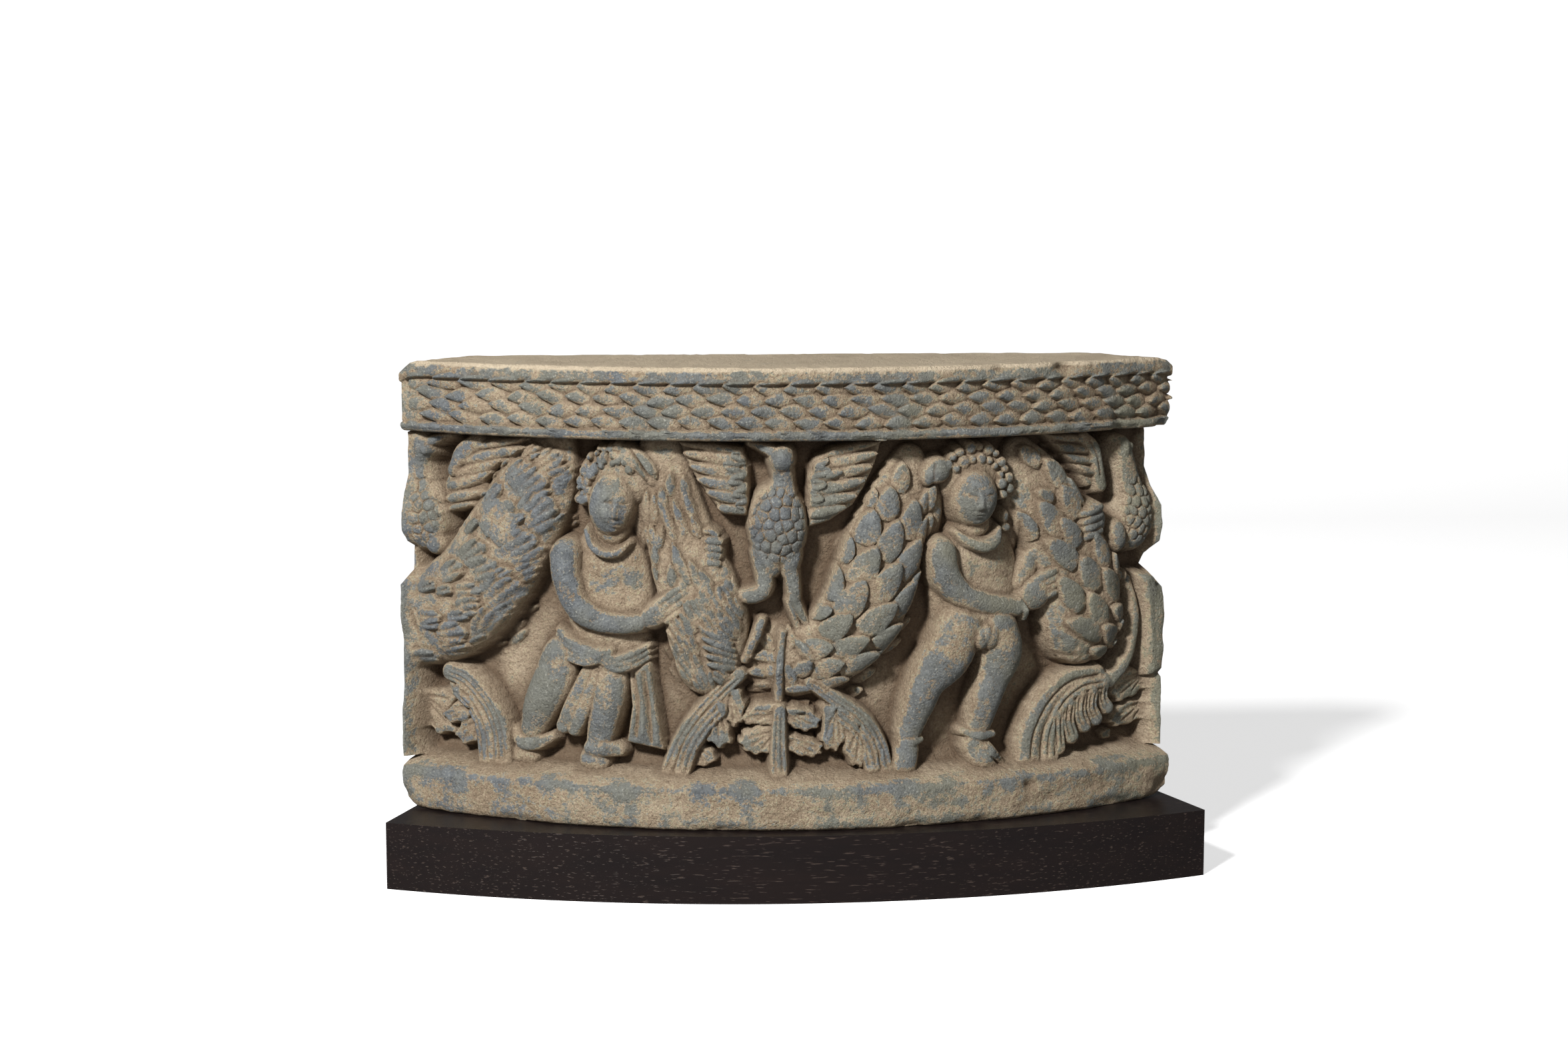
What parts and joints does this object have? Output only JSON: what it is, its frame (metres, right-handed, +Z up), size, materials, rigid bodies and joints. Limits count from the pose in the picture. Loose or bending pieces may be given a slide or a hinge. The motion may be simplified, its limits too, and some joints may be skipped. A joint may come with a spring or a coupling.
{
  "type": "stone relief panel",
  "caption": "Curved schist frieze segment carved with two garland bearers, birds and acanthus under a leaf-scaled cornice, on a dark bow-fronted wooden stand.",
  "frame": {"origin": "middle of the stand's underside, at the centre of its outline's bounding box", "axes": "+Z up, the carved front faces -Y, +X to the viewer's right"},
  "size_m": [0.4378, 0.12, 0.278],
  "materials": {
    "schist": "matte grey schist, blue-grey on the raised parts, with tan earth in the hollows",
    "stained_wood": "nearly black stain under a satin wax, fine open pores"
  },
  "bodies": {
    "root": {"stone_relief_panel": "schist", "wooden_stand": "stained_wood"}
  },
  "joints": []
}
